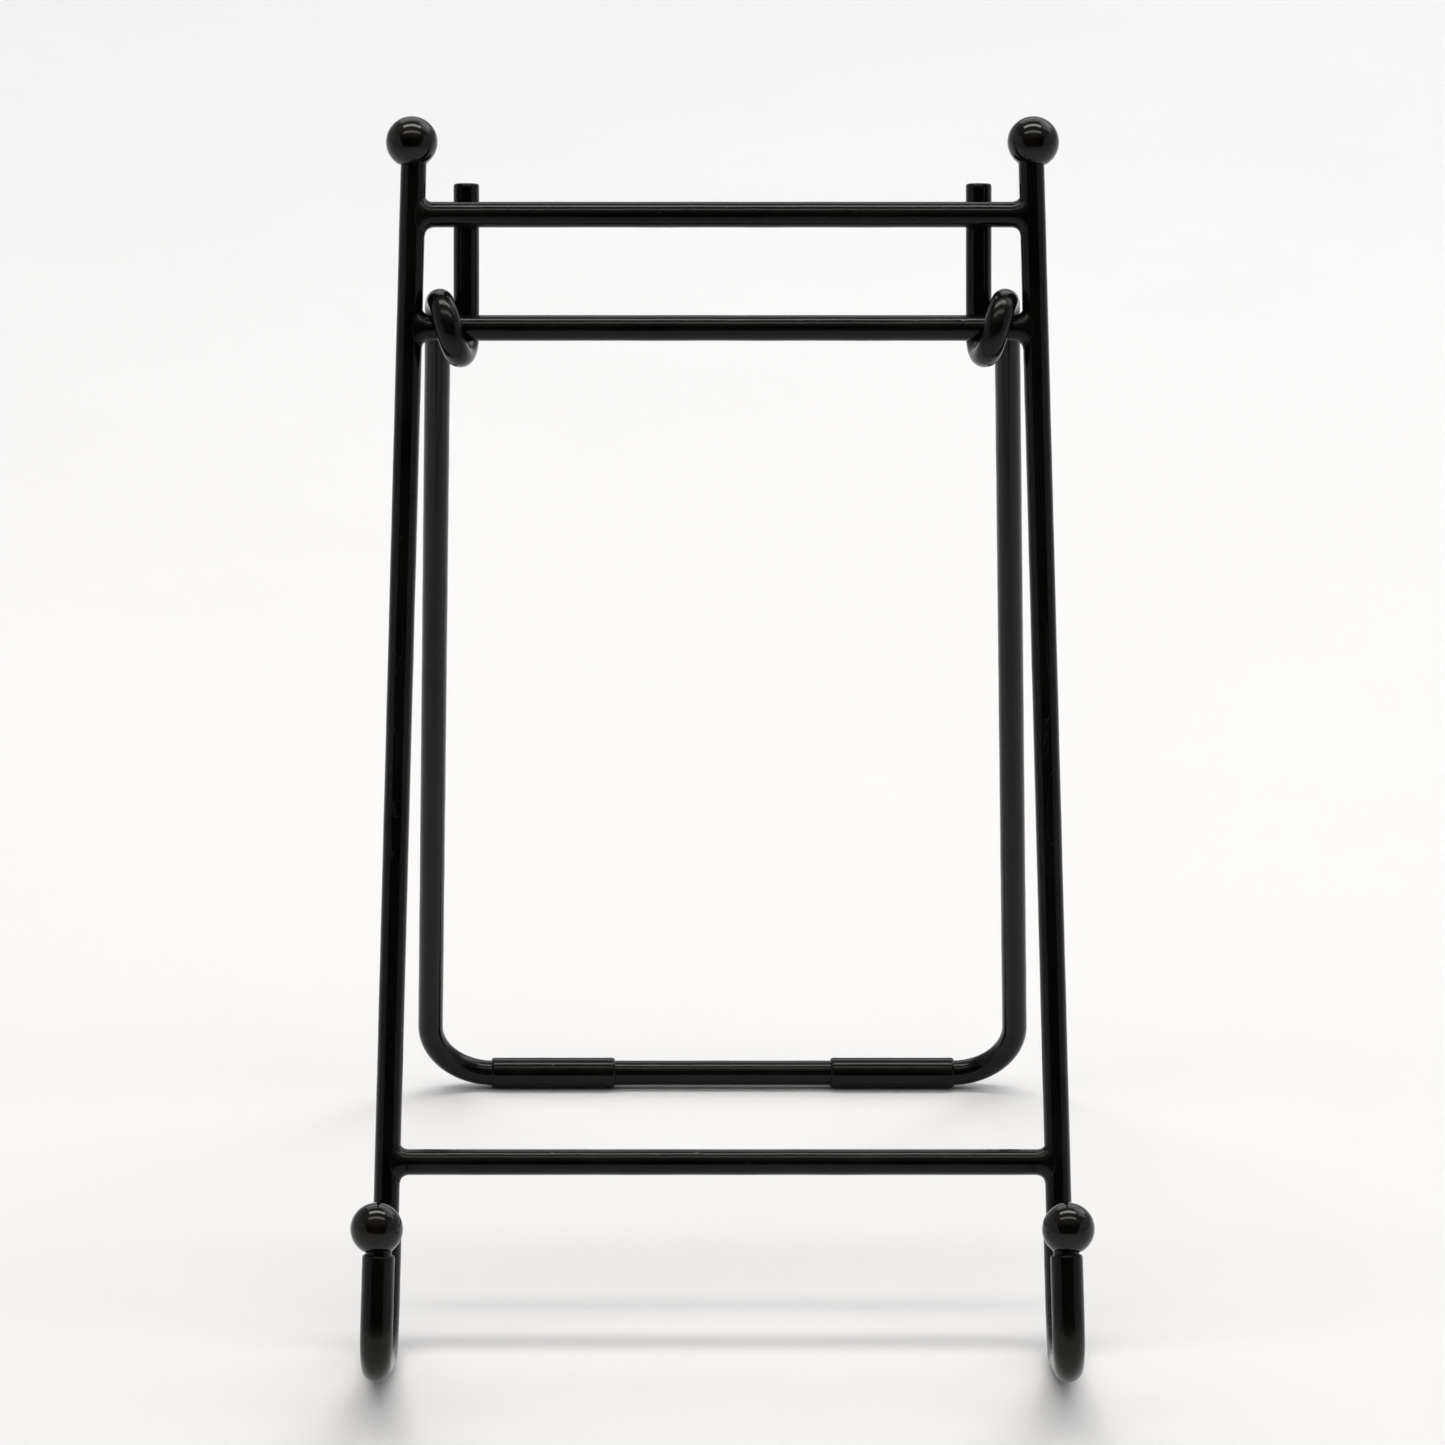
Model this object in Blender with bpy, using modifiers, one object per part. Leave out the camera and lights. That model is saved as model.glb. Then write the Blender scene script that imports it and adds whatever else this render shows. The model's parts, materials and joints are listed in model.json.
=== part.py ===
"""Folding wire plate stand: a leaning front frame with two hooked arms, and a folding rear leg.

Metres, +Z up. The plate faces -Y, and the origin is on the ground under the middle of the open stand.
Each side of the front frame is one bent wire: hook, arm, front foot and upright. Every piece is shaped
in the frame of the empty that carries it, and the empties hold the lean, the toe-in and the opening.
"""

import math

import bpy
from mathutils import Vector

MM = 0.001

# Stock
WIRE_RADIUS = 1.6 * MM
SLEEVE_RADIUS = 2.0 * MM
SLEEVE_WALL = 0.3 * MM
BALL_RADIUS = 3.2 * MM
SIDES = 12

# Front frame
LEAN = math.radians(20)
TOE_IN = math.radians(1.5)
HOOK_SPACING = 84 * MM
HOOK_REACH = 32 * MM
HOOK_BEND = 5 * MM
FOOT_BEND = 8 * MM
HOOK_BALL_UP = 17 * MM
TOP_BALL_UP = 150 * MM
BALL_OFFSET = 0.3 * MM
SLEEVE_TOP = 13.85 * MM
SLEEVE_BACK_UP = 16 * MM
TOP_WIRE_UP = 141 * MM
HINGE_UP = 127 * MM
LOWER_WIRE_UP = 24 * MM

# Rear leg
OPEN_ANGLE = math.radians(40)
COIL_ADVANCE = 3.5 * MM
LEG_TOP_X = 35.2 * MM
LEG_FOOT_X = 38 * MM
LEG_BEND = 8 * MM
TAIL_LENGTH = 18 * MM
FOOT_SLEEVE_X = 22 * MM
FOOT_SLEEVE_LENGTH = 16 * MM

# Clearances
BORE_GAP = 0.15 * MM
COIL_GAP = 0.15 * MM
WELD_GAP = 0.1 * MM

# Steps along the curves
BEND_STEPS = 6
COIL_STEPS = 18

# What follows from them: the feet rest on a flat of the twelve-sided sleeves
HALF_FLAT = math.pi / SIDES
FOOT_HEIGHT = SLEEVE_RADIUS * math.cos(HALF_FLAT)
COIL_RADIUS = 2 * WIRE_RADIUS + COIL_GAP
LEG_TILT = OPEN_ANGLE - LEAN
FRAME_LIFT = FOOT_HEIGHT + FOOT_BEND * (1 - math.cos(LEAN) * math.cos(TOE_IN) - math.sin(LEAN))
LEG_TOP_Z = FRAME_LIFT + HINGE_UP * math.cos(LEAN) + COIL_RADIUS * math.sin(LEG_TILT)
LEG_TOP_Y = HINGE_UP * math.sin(LEAN) + COIL_RADIUS * math.cos(LEG_TILT)
LEG_LENGTH = (LEG_TOP_Z - FOOT_HEIGHT) / math.cos(LEG_TILT)
REAR_EDGE = LEG_TOP_Y + LEG_LENGTH * math.sin(LEG_TILT) + SLEEVE_RADIUS
HOOK_BEND_Y = HOOK_BEND * math.sin(LEAN) - (HOOK_REACH - HOOK_BEND) * math.cos(LEAN)
FRONT_EDGE = HOOK_BEND_Y - HOOK_BEND - SLEEVE_RADIUS
FRAME_Y = -(FRONT_EDGE + REAR_EDGE) / 2


def rounded(corners, radii):
    """A flat path whose inner corners are replaced by points along arcs of the given radii."""
    path = [Vector(corners[0])]
    for before, corner, after, radius in zip(corners, corners[1:], corners[2:], radii):
        corner = Vector(corner)
        back = (Vector(before) - corner).normalized()
        on = (Vector(after) - corner).normalized()
        half = back.angle(on) / 2
        centre = corner + (back + on).normalized() * radius / math.sin(half)
        start = corner + back * radius / math.tan(half) - centre
        end = corner + on * radius / math.tan(half) - centre
        sweep = start.angle(end)
        for step in range(BEND_STEPS + 1):
            share = step / BEND_STEPS
            spoke = start * math.sin((1 - share) * sweep) + end * math.sin(share * sweep)
            path.append(centre + spoke / math.sin(sweep))
    path.append(Vector(corners[-1]))
    return path


def side_path(hook_top, upright_top):
    """Down the hook, back along the arm, round the front foot and up the upright."""
    corners = [(-HOOK_REACH, hook_top), (-HOOK_REACH, 0), (0, 0), (0, upright_top)]
    return [Vector((0, *point)) for point in rounded(corners, [HOOK_BEND, FOOT_BEND])]


def half_leg_path(side):
    """From the tip of one tail, round the hinge rod, down the leg and in to the middle of the foot.

    The leg's own frame has the hinge axis as X and the leg pointing down, COIL_RADIUS behind it.
    """
    path = []
    for step in range(COIL_STEPS + 1):
        share = step / COIL_STEPS
        turn = (2 * math.pi - OPEN_ANGLE) * (1 - share)
        x = LEG_TOP_X - COIL_ADVANCE * (1 - share)
        path.append(Vector((x, COIL_RADIUS * math.cos(turn), COIL_RADIUS * math.sin(turn))))
    tail = Vector((0, math.sin(OPEN_ANGLE), math.cos(OPEN_ANGLE))) * TAIL_LENGTH
    path.insert(0, path[0] + tail)
    corners = [(LEG_TOP_X, 0), (LEG_FOOT_X, -LEG_LENGTH), (0, -LEG_LENGTH)]
    path += [Vector((x, COIL_RADIUS, z)) for x, z in rounded(corners, [LEG_BEND])[1:]]
    return [Vector((side * x, y, z)) for x, y, z in path]


def make_material(name, colour, roughness, coat=0.0):
    """A Principled surface with one colour and one roughness."""
    material = bpy.data.materials.new(name)
    material.use_nodes = True
    shader = material.node_tree.nodes["Principled BSDF"]
    shader.inputs["Base Color"].default_value = (*colour, 1)
    shader.inputs["Roughness"].default_value = roughness
    shader.inputs["Coat Weight"].default_value = coat
    return material


def add_empty(name, group, parent, location, turn):
    """A carrier whose children are placed in its own frame."""
    empty = bpy.data.objects.new(name, None)
    empty.location = location
    empty.rotation_euler = turn
    empty.parent = parent
    group.objects.link(empty)
    return empty


def add_wire(name, points, radius, material, group, parent, twist=HALF_FLAT):
    """A round bar through the given points."""
    curve = bpy.data.curves.new(name, "CURVE")
    curve.dimensions = "3D"
    curve.bevel_depth = radius
    curve.bevel_resolution = (SIDES - 4) // 2
    curve.use_fill_caps = True
    spline = curve.splines.new("POLY")
    spline.points.add(len(points) - 1)
    for knot, place in zip(spline.points, points):
        knot.co = (*place, 1)
        knot.tilt = twist
    wire = bpy.data.objects.new(name, curve)
    wire.data.materials.append(material)
    wire.parent = parent
    group.objects.link(wire)
    return wire


def add_sleeve(name, points, material, group, parent, twist=HALF_FLAT):
    """A vinyl tube round a wire that runs through the same points."""
    sleeve = add_wire(name, points, SLEEVE_RADIUS, material, group, parent, twist)
    sleeve.data.use_fill_caps = False
    wall = sleeve.modifiers.new("wall", "SOLIDIFY")
    wall.thickness = SLEEVE_WALL
    wall.offset = -1
    return sleeve


def take_new_object(name, group, parent):
    """Names the object that an operator has just added, and moves it to its group and parent."""
    solid = bpy.context.object
    solid.name = name
    for collection in list(solid.users_collection):
        collection.objects.unlink(solid)
    group.objects.link(solid)
    solid.parent = parent
    return solid


def add_ball(name, seat, offset, material, group, cutters, parent):
    """A ball on a wire's end. Its blind bore runs up the wire and stops just past the wire's end."""
    bpy.ops.mesh.primitive_uv_sphere_add(
        radius=BALL_RADIUS, segments=20, ring_count=12, location=seat + offset
    )
    ball = take_new_object(name, group, parent)
    ball.data.materials.append(material)
    ball.data.shade_smooth()
    ball.data.set_sharp_from_angle(angle=math.radians(40))
    depth = 2 * BALL_RADIUS
    bore_middle = seat + Vector((0, 0, 2 * BORE_GAP - depth / 2))
    bpy.ops.mesh.primitive_cylinder_add(
        radius=WIRE_RADIUS + BORE_GAP, depth=depth, vertices=2 * SIDES, location=bore_middle
    )
    bore = take_new_object(f"{name}_bore", cutters, parent)
    bore.hide_render = True
    bore.display_type = "WIRE"
    cut = ball.modifiers.new("bore", "BOOLEAN")
    cut.operation = "DIFFERENCE"
    cut.solver = "EXACT"
    cut.object = bore


def add_side(side, word, group, cutters, finishes, frame):
    """One bent side wire with its hook sleeve and the balls on its two ends."""
    enamel, vinyl, gloss = finishes
    place = (side * HOOK_SPACING / 2, 0, 0)
    plane = add_empty(f"{word}_side", group, frame, place, (0, -side * TOE_IN, 0))
    wire_path = side_path(HOOK_BALL_UP, TOP_BALL_UP)
    add_wire(f"{word}_side_wire", wire_path, WIRE_RADIUS, enamel, group, plane)
    sleeve_path = side_path(SLEEVE_TOP, SLEEVE_BACK_UP)
    add_sleeve(f"{word}_hook_sleeve", sleeve_path, vinyl, group, plane)
    offset = Vector((side * BALL_OFFSET, 0, 0))
    for end, seat in (("hook", wire_path[0]), ("top", wire_path[-1])):
        add_ball(f"{word}_{end}_ball", seat, offset, gloss, group, cutters, plane)


def add_cross_wires(group, enamel, frame):
    """The straight wires between the uprights, each just short of the side wires it is welded to."""
    levels = {
        "top_cross_wire": TOP_WIRE_UP,
        "hinge_rod": HINGE_UP,
        "lower_cross_wire": LOWER_WIRE_UP,
    }
    for name, up in levels.items():
        side_x = HOOK_SPACING / 2 - up * math.tan(TOE_IN)
        reach = Vector((side_x - WIRE_RADIUS - WELD_GAP, 0, 0))
        middle = Vector((0, 0, up))
        add_wire(name, [middle - reach, middle + reach], WIRE_RADIUS, enamel, group, frame)


def add_rear_leg(group, enamel, vinyl, frame):
    """The bent leg and its two foot sleeves. Turning their empty about X folds them."""
    pivot = add_empty("rear_leg_pivot", group, frame, (0, 0, HINGE_UP), (OPEN_ANGLE, 0, 0))
    left, right = half_leg_path(-1), half_leg_path(1)
    path = left + right[-2::-1]
    add_wire("rear_leg_wire", path, WIRE_RADIUS, enamel, group, pivot)
    foot = left[-1]
    reach = Vector((FOOT_SLEEVE_LENGTH / 2, 0, 0))
    for side, word in ((-1, "left"), (1, "right")):
        middle = foot + Vector((side * FOOT_SLEEVE_X, 0, 0))
        ends = [middle - reach, middle + reach]
        name = f"{word}_rear_foot_sleeve"
        add_sleeve(name, ends, vinyl, group, pivot, HALF_FLAT - LEG_TILT)


def main():
    for old in list(bpy.data.objects):
        bpy.data.objects.remove(old)
    group = bpy.data.collections.new("plate_stand")
    cutters = bpy.data.collections.new("cutters")
    for collection in (group, cutters):
        bpy.context.scene.collection.children.link(collection)
    enamel = make_material("black_enamel", (0.013, 0.013, 0.012), 0.2, coat=0.6)
    vinyl = make_material("black_vinyl", (0.010, 0.010, 0.009), 0.28)
    gloss = make_material("black_gloss", (0.012, 0.011, 0.010), 0.1, coat=1.0)
    frame = add_empty("front_frame", group, None, (0, FRAME_Y, FRAME_LIFT), (-LEAN, 0, 0))
    for side, word in ((-1, "left"), (1, "right")):
        add_side(side, word, group, cutters, (enamel, vinyl, gloss), frame)
    add_cross_wires(group, enamel, frame)
    add_rear_leg(group, enamel, vinyl, frame)


main()
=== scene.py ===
"""The looks of a folding wire plate stand: enamelled wires, vinyl sleeves, gloss balls and welds.

Every piece is swept, turned or lofted along the line that its solid follows, then dressed with a
procedural finish. Sizes are metres, +Z is up, and a plate on the stand faces -Y.
"""

from __future__ import annotations

import json
import logging
import math
from dataclasses import dataclass
from enum import Enum

import bmesh
import bpy
import numpy as np
from mathutils import Matrix, Vector


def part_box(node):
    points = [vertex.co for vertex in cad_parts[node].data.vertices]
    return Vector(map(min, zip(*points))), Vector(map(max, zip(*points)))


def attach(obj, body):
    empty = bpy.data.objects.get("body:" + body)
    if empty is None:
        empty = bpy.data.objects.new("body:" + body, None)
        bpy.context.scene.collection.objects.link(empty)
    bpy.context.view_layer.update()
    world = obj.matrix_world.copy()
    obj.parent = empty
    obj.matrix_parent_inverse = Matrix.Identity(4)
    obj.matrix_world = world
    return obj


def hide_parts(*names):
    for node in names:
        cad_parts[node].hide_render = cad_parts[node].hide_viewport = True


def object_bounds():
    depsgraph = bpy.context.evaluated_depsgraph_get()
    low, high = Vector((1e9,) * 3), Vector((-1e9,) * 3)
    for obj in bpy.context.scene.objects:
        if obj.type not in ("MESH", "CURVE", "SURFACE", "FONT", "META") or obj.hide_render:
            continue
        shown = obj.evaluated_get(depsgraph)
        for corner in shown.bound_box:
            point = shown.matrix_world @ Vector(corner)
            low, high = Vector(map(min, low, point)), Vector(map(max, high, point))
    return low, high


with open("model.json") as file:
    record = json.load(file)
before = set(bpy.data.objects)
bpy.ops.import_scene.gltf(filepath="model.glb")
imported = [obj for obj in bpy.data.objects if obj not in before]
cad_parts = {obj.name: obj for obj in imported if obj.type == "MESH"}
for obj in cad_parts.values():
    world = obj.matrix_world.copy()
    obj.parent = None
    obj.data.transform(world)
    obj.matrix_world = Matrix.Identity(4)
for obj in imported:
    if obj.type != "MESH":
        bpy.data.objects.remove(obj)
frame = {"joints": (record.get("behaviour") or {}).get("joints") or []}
cad_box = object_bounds()

MM = 0.001
TURN = 2 * math.pi
TIGHT_BEND = 5 * MM  # the bend radius that the bend mark calls 1
MIX_INPUTS = (0, 6, 7)  # a Mix node's share and its two colours
MIX_OUTPUT = 2  # the colour that it makes
Array = np.ndarray
Colour = tuple[float, float, float]
Spot = tuple[float, float, float]
Faces = list[tuple[int, ...]]

log = logging.getLogger("plate_stand")


class Side(Enum):
    """Which half of the stand a piece belongs to, by the sign of its X."""

    LEFT = -1
    RIGHT = 1

    @property
    def word(self) -> str:
        """The side as the solids' names spell it."""
        return self.name.lower()


class Body(Enum):
    """The bodies that pieces ride on."""

    FRAME = "front_frame"
    LEG = "rear_leg"


class Slot(Enum):
    """The record's material slots."""

    ENAMEL = "black_enamel"
    VINYL = "black_vinyl"
    GLOSS = "black_gloss"


# Shader expressions


class Value:
    """A shader socket that Python's operators work on. Each operator adds one Math node."""

    def __init__(self, nodes: Nodes, socket: bpy.types.NodeSocket) -> None:
        """Wraps one output socket of a tree's nodes."""
        self.nodes = nodes
        self.socket = socket

    def maths(self, operation: str, *terms: Value | float) -> Value:
        """A Math node on the given terms, in order."""
        sockets = dict(enumerate(terms))
        return self.nodes.value("ShaderNodeMath", {"operation": operation}, sockets)

    def __add__(self, other: Value | float) -> Value:
        """self + other."""
        return self.maths("ADD", self, other)

    def __sub__(self, other: Value | float) -> Value:
        """self - other."""
        return self.maths("SUBTRACT", self, other)

    def __rsub__(self, other: float) -> Value:
        """other - self."""
        return self.maths("SUBTRACT", other, self)

    def __mul__(self, other: Value | float) -> Value:
        """self * other."""
        return self.maths("MULTIPLY", self, other)

    def __abs__(self) -> Value:
        """The distance from nought."""
        return self.maths("ABSOLUTE", self)

    __radd__ = __add__
    __rmul__ = __mul__

    def between(self, low: float, high: float) -> Value:
        """0 up to low, 1 from high on, and a smooth step in the middle.

        Args:
            low: Where the step starts.
            high: Where it ends.

        Returns:
            The step.
        """
        settings = {"interpolation_type": "SMOOTHSTEP"}
        sockets = {"Value": self, "From Min": low, "From Max": high}
        return self.nodes.value("ShaderNodeMapRange", settings, sockets)


class Nodes:
    """A node tree, and the ways to add to it."""

    def __init__(self, tree: bpy.types.NodeTree) -> None:
        """Takes the tree that the nodes go in."""
        self.tree = tree

    def connect(self, node: bpy.types.Node, sockets: dict) -> None:
        """Sets or links a node's inputs.

        Args:
            node: The node to feed.
            sockets: An input's name or index, and the constant or Value it takes.
        """
        for key, content in sockets.items():
            if isinstance(content, Value):
                self.tree.links.new(content.socket, node.inputs[key])
            else:
                node.inputs[key].default_value = content

    def node(
        self, kind: str, settings: dict | None = None, sockets: dict | None = None
    ) -> bpy.types.Node:
        """Adds a node. Its settings come first, because they can change its sockets.

        Args:
            kind: The node's Blender type.
            settings: Attribute names and what they are set to.
            sockets: Input names or indices, and the constant or Value each takes.

        Returns:
            The new node.
        """
        made = self.tree.nodes.new(kind)
        for key, content in (settings or {}).items():
            setattr(made, key, content)
        self.connect(made, sockets or {})
        return made

    def value(
        self,
        kind: str,
        settings: dict | None = None,
        sockets: dict | None = None,
        output: str | int = 0,
    ) -> Value:
        """One output of a new node, as a Value."""
        return Value(self, self.node(kind, settings, sockets).outputs[output])

    def mixed(self, share: Value, low: tuple | Value, high: tuple | Value) -> Value:
        """A colour that goes from low to high as the share goes from 0 to 1.

        Args:
            share: How far to go.
            low: The colour at 0.
            high: The colour at 1.

        Returns:
            The colour.
        """
        colours = [end if isinstance(end, Value) else (*end, 1.0) for end in (low, high)]
        sockets = dict(zip(MIX_INPUTS, (share, *colours)))
        return self.value("ShaderNodeMix", {"data_type": "RGBA"}, sockets, output=MIX_OUTPUT)


class Surface(Nodes):
    """One material's nodes round its Principled shader."""

    def __init__(self, name: str) -> None:
        """Makes the material and keeps its shader node.

        Args:
            name: The material's name.
        """
        self.material = bpy.data.materials.new(name)
        self.material.use_nodes = True
        super().__init__(self.material.node_tree)
        self.shader = self.tree.nodes["Principled BSDF"]

    def place(self) -> Value:
        """The point on the stand, in metres."""
        return self.value("ShaderNodeTexCoord", output="Object")

    def laid(self) -> Value:
        """The point as if its wire or tube lay straight along Z, in metres."""
        return self.value("ShaderNodeAttribute", {"attribute_name": "laid"}, output="Vector")

    def mark(self, name: str) -> Value:
        """A number that the mesh holds at each of its points."""
        return self.value("ShaderNodeAttribute", {"attribute_name": name}, output="Fac")

    def stretched(self, place: Value, by: Spot) -> Value:
        """A place whose directions are each multiplied, so that noise there is drawn out."""
        return self.value("ShaderNodeVectorMath", {"operation": "MULTIPLY"}, {0: place, 1: by})

    def noise(self, place: Value, pitch: float, detail: float = 2.0) -> Value:
        """Soft noise from 0 to 1 whose features are about one pitch apart."""
        sockets = {"Vector": place, "Scale": 1 / pitch, "Detail": detail}
        return self.value("ShaderNodeTexNoise", None, sockets)

    def specks(self, place: Value, pitch: float, size: float) -> Value:
        """Round specks, at most one in each cell of the pitch, most of them far below the size.

        Args:
            place: Where the pattern is read.
            pitch: The distance between cells.
            size: The largest speck's radius, as a share of the pitch.

        Returns:
            1 on a speck and 0 between them.
        """
        cells = self.node("ShaderNodeTexVoronoi", None, {"Vector": place, "Scale": 1 / pitch})
        distance = Value(self, cells.outputs["Distance"])
        colour = Value(self, cells.outputs["Color"])
        chance = self.value("ShaderNodeSeparateColor", None, {"Color": colour})
        return (chance * chance * chance * size - distance).between(0.0, 0.3 * size)

    def hairlines(self, place: Value, pitch: float, width: float) -> Value:
        """Thin wandering lines: where soft noise crosses its own middle."""
        return 1 - abs(self.noise(place, pitch, 1.0) - 0.5).between(0.3 * width, width)

    def coated(self, colour: Value, *coats: tuple[Value, Colour]) -> Value:
        """A colour under more coats, each given as how much of it shows and its own colour.

        Args:
            colour: The colour underneath.
            coats: Each coat's share and colour, the lowest first.

        Returns:
            The colour with all its coats.
        """
        for share, coat in coats:
            colour = self.mixed(share, colour, coat)
        return colour

    def relief(self, height: Value, depth: float) -> Value:
        """A normal from a height, whose unit stands for the given depth in metres."""
        return self.value("ShaderNodeBump", None, {"Height": height, "Distance": depth})

    def dressed(self, sockets: dict) -> bpy.types.Material:
        """Fills the shader's sockets.

        Args:
            sockets: The shader's input names, and the constant or Value each takes.

        Returns:
            The finished material.
        """
        self.connect(self.shader, sockets)
        return self.material


# Finishes


@dataclass(frozen=True)
class BlackEnamel:
    """Stoved gloss enamel on steel wire: orange peel, dust nibs, and steel where parts rub."""

    name: str = "black_enamel_wire"
    deep: Colour = (0.0013, 0.0013, 0.0011)
    hazed: Colour = (0.0052, 0.0050, 0.0044)
    primer: Colour = (0.030, 0.025, 0.021)
    steel: Colour = (0.17, 0.16, 0.148)
    dusty: Colour = (0.075, 0.071, 0.064)
    gloss: float = 0.13
    shine: float = 0.19
    peel_pitch: float = 1.2 * MM
    peel_depth: float = 0.026 * MM
    nib_pitch: float = 3.0 * MM

    def material(self) -> bpy.types.Material:
        """Builds the nodes.

        Returns:
            The enamel.
        """
        surface = Surface(self.name)
        place, laid = surface.place(), surface.laid()
        cloud = surface.noise(place, 11 * MM, 3.0)
        peel = surface.noise(place, self.peel_pitch)
        fine = surface.noise(place, 0.22 * MM)
        drawn = surface.noise(surface.stretched(laid, (1.0, 1.0, 0.02)), 0.3 * MM, 3.0)
        nibs = surface.specks(place, self.nib_pitch, 0.20)
        dust = surface.specks(surface.stretched(place, (1.0, 1.0, 1.02)), 1.1 * MM, 0.11)
        hairs = surface.hairlines(surface.stretched(laid, (1.0, 1.0, 0.12)), 0.9 * MM, 0.012)
        rub = surface.mark("rub")
        ragged = rub + (fine - 0.5) * 0.55 + (peel - 0.5) * 0.35
        polished = rub.between(0.0, 0.35) * hairs
        thinned = ragged.between(0.48, 0.72) * rub.between(0.36, 0.46)
        chipped = ragged.between(0.68, 0.78) * rub.between(0.40, 0.50)
        haze = (cloud * 0.6 + drawn * 0.4).between(0.35, 0.75)
        colour = surface.coated(
            surface.mixed(haze, self.deep, self.hazed),
            (dust * 0.35, self.dusty),
            (polished * 0.3, self.primer),
            (thinned, self.primer),
            (chipped, self.steel),
        )
        rough = self.gloss + haze * 0.06 + (drawn - 0.5) * 0.05 + dust * 0.22
        rough = rough + polished * 0.16 + thinned * 0.16 + chipped * 0.10
        height = peel + fine * 0.04 + nibs * 0.55 - polished * 0.05 - chipped * 0.9 + drawn * 0.05
        sockets = {
            "Base Color": colour,
            "Roughness": rough,
            "Metallic": chipped,
            "Specular IOR Level": self.shine,
            "Normal": surface.relief(height, self.peel_depth),
        }
        return surface.dressed(sockets)


@dataclass(frozen=True)
class BlackVinyl:
    """Extruded soft vinyl tube: die lines, a waxy bloom, crazed bends that are lighter partly from
    strain whitening and partly from a painted reflection of the pale floor below, and scuffed feet.
    """

    name: str = "black_vinyl_tube"
    deep: Colour = (0.0013, 0.0013, 0.0011)
    bloomed: Colour = (0.0048, 0.0048, 0.0038)
    # Lighter olive tone for bends: partly strain whitening, partly a painted reflection of the pale
    # floor below.
    strain_and_painted_reflection: Colour = (0.0100, 0.0104, 0.0076)
    scuffed: Colour = (0.060, 0.056, 0.048)
    dusty: Colour = (0.09, 0.086, 0.078)
    gloss: float = 0.14
    shine: float = 0.19
    relief_depth: float = 0.020 * MM

    def material(self) -> bpy.types.Material:
        """Builds the nodes.

        Returns:
            The vinyl.
        """
        surface = Surface(self.name)
        place, laid = surface.place(), surface.laid()
        bloom = surface.noise(place, 5 * MM, 3.0)
        grain = surface.noise(place, 0.16 * MM)
        lump = surface.noise(place, 1.8 * MM)
        die = surface.noise(surface.stretched(laid, (1.0, 1.0, 0.006)), 0.36 * MM, 3.0)
        craze = surface.noise(surface.stretched(laid, (0.5, 0.5, 1.0)), 0.3 * MM, 3.0)
        dust = surface.specks(place, 1.0 * MM, 0.11)
        nicks = surface.hairlines(surface.stretched(laid, (1.0, 1.0, 0.5)), 1.3 * MM, 0.008)
        bend, rub = surface.mark("bend"), surface.mark("rub")
        scuff = (rub + (grain - 0.5) * 0.7 + (lump - 0.5) * 0.4).between(0.35, 0.85)
        scuff = scuff * rub.between(0.02, 0.15)
        haze = (bloom * 0.7 + die * 0.3).between(0.38, 0.72)
        colour = surface.coated(
            surface.mixed(haze, self.deep, self.bloomed),
            # Bends lighten: partly strain whitening, partly a painted reflection of the pale floor.
            (bend * 0.75, self.strain_and_painted_reflection),
            (dust * 0.4, self.dusty),
            (scuff * 0.8, self.scuffed),
        )
        rough = self.gloss + haze * 0.07 + bend * 0.08 + (die - 0.5) * 0.06 + dust * 0.2
        rough = rough + scuff * 0.3 + nicks * 0.04
        height = lump * 0.7 + die * 0.30 + grain * 0.04 + bend * craze * 0.5
        height = height - nicks * 0.04 - scuff * grain * 0.3
        sockets = {
            "Base Color": colour,
            "Roughness": rough,
            "Specular IOR Level": self.shine,
            "Normal": surface.relief(height, self.relief_depth),
        }
        return surface.dressed(sockets)


@dataclass(frozen=True)
class BlackGloss:
    """Moulded ball with a polished skin: faint flow in a warm tone that is partly a painted reflection
    of warm surroundings, hairline scratches and settled dust.
    """

    name: str = "black_gloss_ball"
    deep: Colour = (0.0010, 0.0009, 0.0006)
    # Warm brown tone: partly moulding flow, partly a painted reflection of warm surroundings.
    warm: Colour = (0.0060, 0.0050, 0.0034)
    dusty: Colour = (0.10, 0.096, 0.088)
    gloss: float = 0.05
    shine: float = 0.21
    coat: float = 0.12
    coat_gloss: float = 0.03
    relief_depth: float = 0.012 * MM

    def material(self) -> bpy.types.Material:
        """Builds the nodes.

        Returns:
            The gloss.
        """
        surface = Surface(self.name)
        place = surface.place()
        flow = surface.noise(place, 3.5 * MM, 3.0)
        skin = surface.noise(place, 1.4 * MM)
        patch = surface.noise(place, 2.2 * MM).between(0.45, 0.62)
        long_way = surface.stretched(place, (1.0, 0.30, 0.55))
        cross_way = surface.stretched(place, (0.35, 1.0, 0.80))
        hairs = surface.hairlines(long_way, 0.8 * MM, 0.006) * patch
        fine_hairs = surface.hairlines(cross_way, 0.6 * MM, 0.006) * (1 - patch)
        dust = surface.specks(place, 0.9 * MM, 0.10)
        # The warm tone follows the flow noise and is partly a painted reflection of warm surroundings.
        colour = surface.mixed(flow.between(0.35, 0.70), self.deep, self.warm)
        colour = surface.mixed(dust * 0.4, colour, self.dusty)
        rough = self.gloss + flow.between(0.3, 0.8) * 0.04 + (hairs + fine_hairs) * 0.08
        rough = rough + dust * 0.28
        height = skin + dust * 0.2 - (hairs + fine_hairs) * 0.04
        sockets = {
            "Base Color": colour,
            "Roughness": rough,
            "Specular IOR Level": self.shine,
            "Coat Weight": self.coat,
            "Coat Roughness": self.coat_gloss,
            "Normal": surface.relief(height, self.relief_depth),
        }
        return surface.dressed(sockets)


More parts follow.
